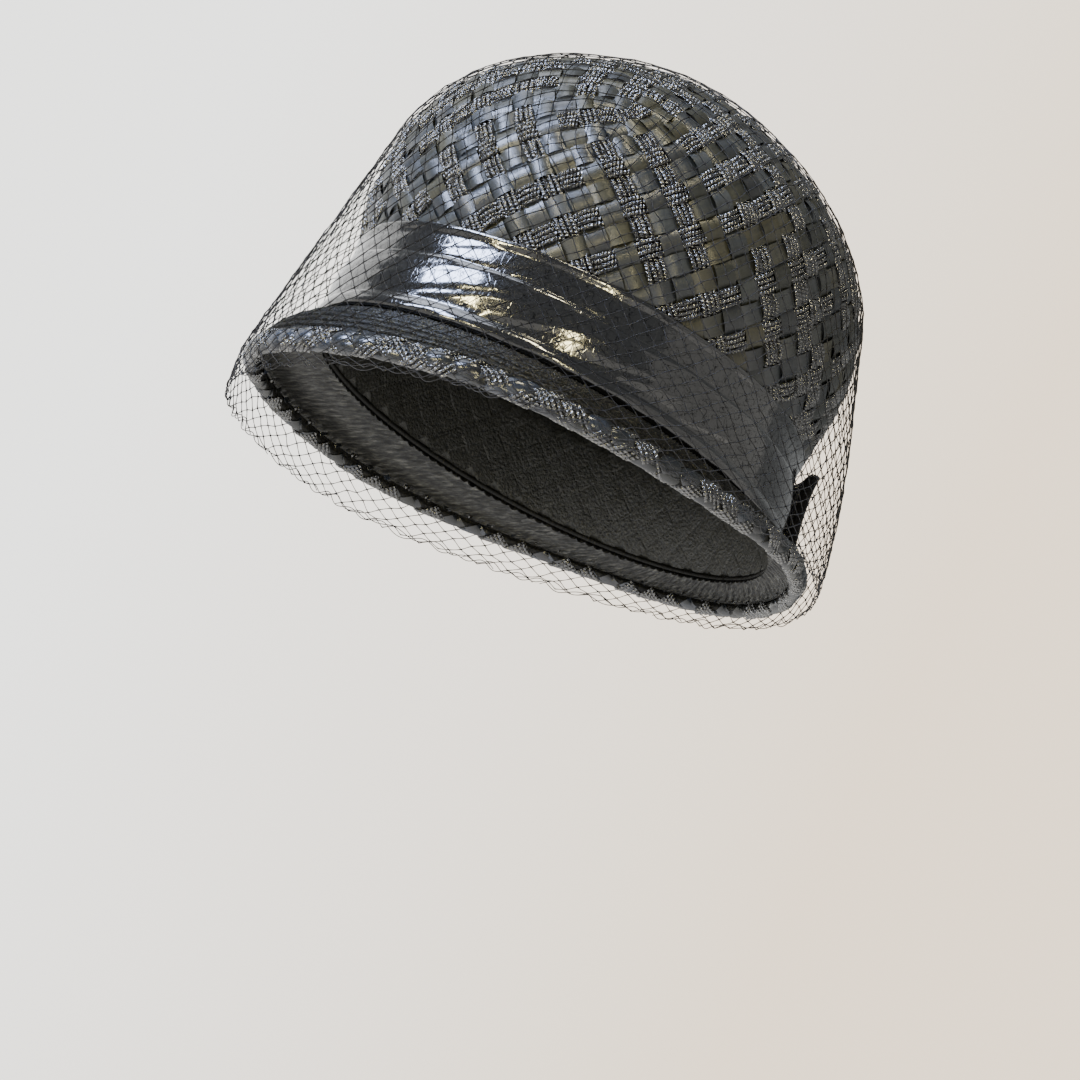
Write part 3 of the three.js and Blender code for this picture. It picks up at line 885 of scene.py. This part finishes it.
def loopGrid(side):
    f = bowForm
    parts = np.linspace(0, 1, 30)
    depth = mix(f["pinch"], f["belly"], np.sin(parts * pi / 2))
    run = f["length"] - f["belly"] / 2
    turns = np.radians(np.linspace(-f["endTurn"], f["endTurn"], 9))
    half = f["wall"] / 2
    outX = np.concatenate([parts * run, run + (f["belly"] / 2 - half) * np.cos(turns), parts[::-1] * run])
    middleDepth = f["belly"] / 2 + (f["belly"] / 2 - half) * np.sin(turns)
    outY = np.concatenate([0 * parts + half, middleDepth, (depth - half)[::-1]])
    step = np.stack([np.gradient(outX), np.gradient(outY)], axis=1)
    normal = unit(np.stack([step[:, 1], -step[:, 0]], axis=1))
    # section of the folded ribbon: up its outer face, round the edge, down its inner face
    rise = np.linspace(0, 1, 15)[1:-1]
    face = np.ones(len(rise))
    up = np.concatenate([rise, [1.0], rise[::-1], [0.0]])
    skin = np.concatenate([face, [0.0], -face, [0.0]]) * half
    share = (outX / f["length"])[:, None]
    gather = np.clip(1 - share * f["gather"], 0, 1) ** 1.5
    height = mix(f["low"] + f["gatherLow"] * gather, f["high"] - f["gatherHigh"] * gather, up)
    folds = f["fold"] * gather * np.sin(up * f["folds"] + side)
    swell = f["swell"] * (1 - gather) * np.sin(up * f["swells"] + share * f["swellSlant"])
    x = outX[:, None] + skin * normal[:, :1]
    y = outY[:, None] + skin * normal[:, 1:] + folds + swell
    stand = f["stand"] + y * mix(f["pressed"], 1, up) + f["lean"] * up * share
    points = atBack(side, f["knotHalf"] - f["tucked"] + x, height, stand)
    return layGrid(points, outX[:, None], height, closed=True)


def knotGrid():
    f = bowForm
    heights = np.linspace(0, 1, 25)[:, None]
    across = np.linspace(-1, 1, 17)
    fill = (1 - np.abs(2 * heights - 1) ** 6) ** 0.5
    cover = (1 - np.abs(across) ** 4) ** 0.5
    ridge = f["knotRidge"] * np.cos(across * f["knotRidges"]) * cover
    ridge = ridge + f["knotWave"] * np.sin(heights * 5 + 1)
    height = mix(f["knotLow"], f["knotHigh"], heights) + 0 * across
    thick = (f["knotThick"] - f["knotStand"] + ridge) * cover * np.maximum(fill, f["knotThin"])
    front = f["stand"] + f["knotStand"] + thick
    back = np.full_like(front, f["stand"])
    out = across * f["knotHalf"] * (1 - f["knotWaist"] * np.sin(heights * pi))
    points = np.concatenate([atBack(1, out, height, front), atBack(1, out[::-1], height[::-1], back[::-1])])
    points = np.concatenate([points, points[:1]])
    along = np.linspace(0, 60, len(points))[:, None]
    return layGrid(points, along, across * f["knotHalf"])


# Velvet ribbon: short silk pile; deep matt black that lightens only where it turns away. The pile is
# drawn about a third of a millimetre wide, coarser than real, so that it shows.


def velvetRibbon():
    material, add = newMaterial("velvetRibbon", {
        "Roughness": 0.9, "Specular IOR Level": 0.15, "Sheen Weight": 1.0, "Sheen Roughness": 0.3,
        "Sheen Tint": linear("#8f8f98"),
    })
    place = strandPlace(add, "along", "across")
    pile = add("TexNoise", {"Vector": place, "Scale": 3.0, "Detail": 3.0, "Roughness": 0.8})
    brushed = add("TexNoise", {"Vector": place, "Scale": 0.15, "Detail": 2.0})
    both = add("Math", {"operation": "MULTIPLY", 0: pile, 1: brushed})
    colour = add("ValToRGB", {"Fac": both, "stops": [(0.12, "#060607"), (0.4, "#17171a")]})
    bump = add("Bump", {"Height": pile, "Strength": 0.5, "Distance": 0.0004})
    return feed(material, {"Base Color": colour, "Normal": bump})


velvet = velvetRibbon()
for side, node in ((1, "bow_loop_left"), (-1, "bow_loop_right")):
    velvetLoop = makePiece("velvet_" + node[4:], [loopGrid(side)], velvet)
    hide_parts(node)
velvetKnot = makePiece("velvet_knot", [knotGrid()], velvet)
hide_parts("bow_knot")

# Veil: diamond net over the whole hat, lying on the crown and hanging clear of the brim

veilForm = {
    "overCrown": 2.2, "pastRim": 0.8, "slackBack": 6.0, "slackEnd": 0.7,
    "drop": 5.5, "swing": 8.0, "lowestAt": -60.0, "tuck": 0.1, "rollOut": 2.6, "rollUp": 3.9,
    "lines": 72, "perLine": 100, "beyond": 1.15,  # the form runs straight on past the hem to here
    "resting": 30,  # points at the top of a line that always lie on the crown
    "across": 22, "pitch": 5.3, "patch": 112.0, "slack": 0.7, "uneven": 0.35, "loose": 0.6,
    "gatherFrom": 182.0, "gatherEnd": 0.5, "spare": 15.0,  # meshes close up towards the hem to this share
    "thread": 0.175, "knot": 0.6,
    "reach": 108,  # from the middle to the hem
}
selvedge = {"points": 700, "wave": 1.1, "step": 13.0, "up": 0.8, "gap": 0.7, "lift": 0.6, "thick": 1.15}


def veilLine(angle):
    # down over the crown, off it where a straight line clears the rim, and on to the hem
    f, c, b = veilForm, crownForm, brimForm
    out = np.array([sin(angle), -cos(angle), 0])
    past = f["rollOut"] + f["pastRim"]
    edge = ovalPoint(angle, b["rimLength"] + past, b["rimWidth"] + past, b["rimCentre"], rimHeight(angle))
    flat = np.linspace(0, arcAtHeight(c["widestHeight"]), 90)[:, None] * out[:2]
    clear = np.maximum(np.abs(flat), 1e-3) * np.sign(flat + 1e-9)  # never just on the middle
    dome = onCrown(flat) + outward(onCrown, clear) * f["overCrown"]
    reach = np.hypot(dome[:, 0], dome[:, 1] - c["topCentre"])
    lean = (reach - np.hypot(edge[0], edge[1] - c["topCentre"])) / (dome[:, 2] - edge[2])
    lean[:f["resting"]] = -inf
    leave = int(np.argmax(lean))
    slack = f["slackBack"] * (1 - cos(angle)) / 2
    parts = np.linspace(0, 1, 21)[1:, None]
    fall = mix(dome[leave], edge, parts) + out * slack * np.sin(parts * pi * f["slackEnd"])
    drop = f["rollUp"] + f["drop"] + f["swing"] * cos(angle - radians(f["lowestAt"]))
    hem = fall[-1] - np.array([0, 0, 1]) * drop - out * drop * f["tuck"]
    line = np.concatenate([dome[:leave + 1], fall, [hem]])
    far = np.concatenate([[0], np.cumsum(norm(np.diff(line, axis=0)))])
    even = np.linspace(0, far[-1], f["perLine"])
    return np.stack([np.interp(even, far, line[:, k]) for k in range(3)], axis=1), far[-1]


veilLines = [veilLine(angle) for angle in np.linspace(0, 2 * pi, veilForm["lines"] + 1)]
veilTable = np.array([line for line, _ in veilLines])
veilArc = float(np.mean([long for _, long in veilLines[:-1]]))
print("veil arc", round(veilArc, 1), "mm")


def onVeil(flat):
    lines, last = veilForm["lines"], veilForm["perLine"] - 1
    away = norm(flat)
    angle = np.mod(np.arctan2(flat[..., 0], -flat[..., 1]), 2 * pi) / (2 * pi) * lines
    down = np.clip(away / veilArc, 0, veilForm["beyond"]) * last
    a, d = np.minimum(angle.astype(int), lines - 1), np.minimum(down.astype(int), last - 1)
    u, v = (angle - a)[..., None], (down - d)[..., None]
    near = mix(veilTable[a, d], veilTable[a + 1, d], u)
    return mix(near, mix(veilTable[a, d + 1], veilTable[a + 1, d + 1], u), v)


def thread(points, normal, radius, along):
    # three flat sides that meet again on the outside
    corners = np.radians([90, 210, 330, 450])[:, None]
    side = np.cross(unit(np.gradient(points, axis=0)), normal)
    rings = side[:, None] * np.cos(corners) + normal[:, None] * np.sin(corners)
    grid = points[:, None] + radius[:, None, None] * rings
    return layGrid(grid, along[:, None], 0.0, random.random())


def veilThreads():
    f = veilForm
    cutArc = veilArc + f["spare"]
    nodes, strands = plait(f["across"], f["pitch"], f["patch"], cutArc - 1)
    nodes = relax(nodes, strands, onVeil, f["pitch"], cutArc - 8, f["slack"])
    away = norm(nodes)
    past = np.maximum(away - f["gatherFrom"], 0)
    closed = (1 - f["gatherEnd"]) * past ** 2 / (2 * (cutArc - f["gatherFrom"]))
    nodes = nodes * (1 - closed / np.maximum(away, 1))[:, None]
    nodes = nodes + f["uneven"] * random.normal(size=nodes.shape)
    looseness = random.random(len(nodes)) * f["loose"]
    grids = []
    for strand in strands:
        path, t = alongStrand(nodes, strand, 3)
        within = norm(path) < veilArc
        path, t = path[within], t[within]
        points, normal = onVeil(path), outward(onVeil, path)
        lift = np.interp(t, np.arange(len(strand)), looseness[[node for node, _ in strand]])
        knot = np.cos(pi * t) ** 12
        radius = f["thread"] * (1 + f["knot"] * knot)
        grids.append(thread(points + normal * lift[:, None], normal, radius, t * f["pitch"]))
    return grids


def selvedgeThreads():
    # two wavy threads, crossing now and then, that the meshes end on
    f, s = veilForm, selvedge
    around = np.linspace(0, 2 * pi, s["points"])
    waves = round(2 * pi * f["reach"] / s["step"])
    radius = np.full(len(around), f["thread"] * s["thick"])
    grids = []
    for row in range(2):
        wander = np.sin(around * waves + row * 2.2 + 1.5 * np.sin(around * 9))
        wander = wander + 0.5 * np.sin(around * 31 + row)
        down = veilArc - s["up"] - row * s["gap"] + s["wave"] * wander
        path = down[:, None] * np.stack([np.sin(around), -np.cos(around)], axis=-1)
        points, normal = onVeil(path), outward(onVeil, path)
        lift = s["lift"] * np.sin(around * 53 + row * 2)
        grids.append(thread(points + normal * lift[:, None], normal, radius, around * f["reach"]))
    return grids


# Veiling thread: fine silk net; charcoal, a little silvery where light runs along the thread


def veilingThread():
    material, add = newMaterial("veilingThread", {"Roughness": 0.6, "Specular IOR Level": 0.35})
    place = strandPlace(add, "along", "tint")
    twist = add("TexNoise", {"Vector": place, "Scale": 0.7, "Detail": 3.0})
    colour = add("ValToRGB", {"Fac": twist, "stops": [(0.3, "#161618"), (0.7, "#333336")]})
    return feed(material, {"Base Color": colour})


veil = makePiece("veil_net", veilThreads() + selvedgeThreads(), veilingThread())
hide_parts("veil")

# Stage: a pale floor well below and a pale wall, cooler on the window's side. The camera sees the
# wall bright; the room's own light on the hat is dimmer.

roomLight = {
    "wall": 3.0, "wallCool": "#ecece9", "wallWarm": "#dac9b2", "warmWay": (0.532, 0.847, 0.0), "fade": 0.12,
    "room": 0.42, "roomColour": "#dde0e0",
    "floor": 1.0, "floorColour": "#dcd9d3", "floorSize": 30, "floorHeight": -1.45,
}


def makeFloor():
    r = roomLight
    bpy.ops.mesh.primitive_plane_add(size=r["floorSize"], location=(0, 0, r["floorHeight"]))
    floor = bpy.context.object
    floor.name = "floor"
    material, add = newMaterial("palePaint", {
        "Roughness": 0.8, "Emission Color": linear(r["floorColour"]), "Emission Strength": r["floor"],
    })
    speck = add("TexNoise", {"Scale": 30.0, "Detail": 3.0})
    paint = add("ValToRGB", {"Fac": speck, "stops": [(0.3, "#d9d5cf"), (0.7, "#e0dcd6")]})
    floor.data.materials.append(feed(material, {"Base Color": paint}))


def makeRoom():
    r = roomLight
    world = bpy.data.worlds.new("paleRoom")
    bpy.context.scene.world = world
    world.use_nodes = True
    tree = world.node_tree
    add, wall = partial(addNode, tree), tree.nodes["Background"]
    wall.inputs["Strength"].default_value = r["wall"]
    toward = add("TexCoord", {})
    sideways = add("VectorMath", {"operation": "DOT_PRODUCT", 0: toward, 1: r["warmWay"]}, "Value")
    share = add("MapRange", {"Value": sideways, "From Min": -r["fade"], "From Max": r["fade"]})
    shade = add("ValToRGB", {"Fac": share, "stops": [(0.0, r["wallCool"]), (1.0, r["wallWarm"])]})
    tree.links.new(shade, wall.inputs["Color"])
    room = add("Background", {"Color": linear(r["roomColour"]), "Strength": r["room"]})
    seen = add("LightPath", {})
    both = add("MixShader", {0: seen, 1: room, 2: wall.outputs[0]})
    tree.links.new(both, tree.nodes["World Output"].inputs["Surface"])


# Lights: a cool window high on the left, small warm lamps, sky above and two pale walls

lightAim = Vector((0, 0, 0.05))
lights = [  # name, place, size in metres, watts, colour
    ("window", (-0.1, -2.0, 0.83), (0.95, 0.62), 120, "#c8d8ff"),
    ("lampsFront", (0.47, -1.95, -0.02), (0.26, 0.14), 13, "#fff0b4"),
    ("lampFront", (0.8, -1.8, 0.16), (0.14, 0.1), 5, "#fff0b4"),
    ("lampSide", (1.76, -0.95, -0.18), (0.16, 0.26), 9, "#fff0b4"),
    ("lampHigh", (1.0, -1.0, 1.8), (0.35, 0.35), 26, "#fff2c8"),
    ("skyPanel", (-0.5, -1.2, 1.95), (1.6, 1.0), 28, "#e9f0ff"),
    ("leftWall", (-2.2, -0.3, 0.5), (2.6, 2.0), 26, "#eeeeec"),
    ("rightWall", (2.0, 1.5, 0.9), (3.4, 2.6), 12, "#f2ede4"),
]


def areaLight(name, place, size, power, colour):
    data = bpy.data.lights.new(name, "AREA")
    data.shape = "RECTANGLE"
    data.size, data.size_y = size
    data.energy = power
    data.color = linear(colour)[:3]
    light = bpy.data.objects.new(name, data)
    light.location = place
    light.rotation_mode = "QUATERNION"
    light.rotation_quaternion = (lightAim - Vector(place)).to_track_quat("-Z", "Y")
    light.visible_camera = False
    bpy.context.scene.collection.objects.link(light)


makeFloor()
makeRoom()
for light in lights:
    areaLight(*light)
print("stage and lights set")
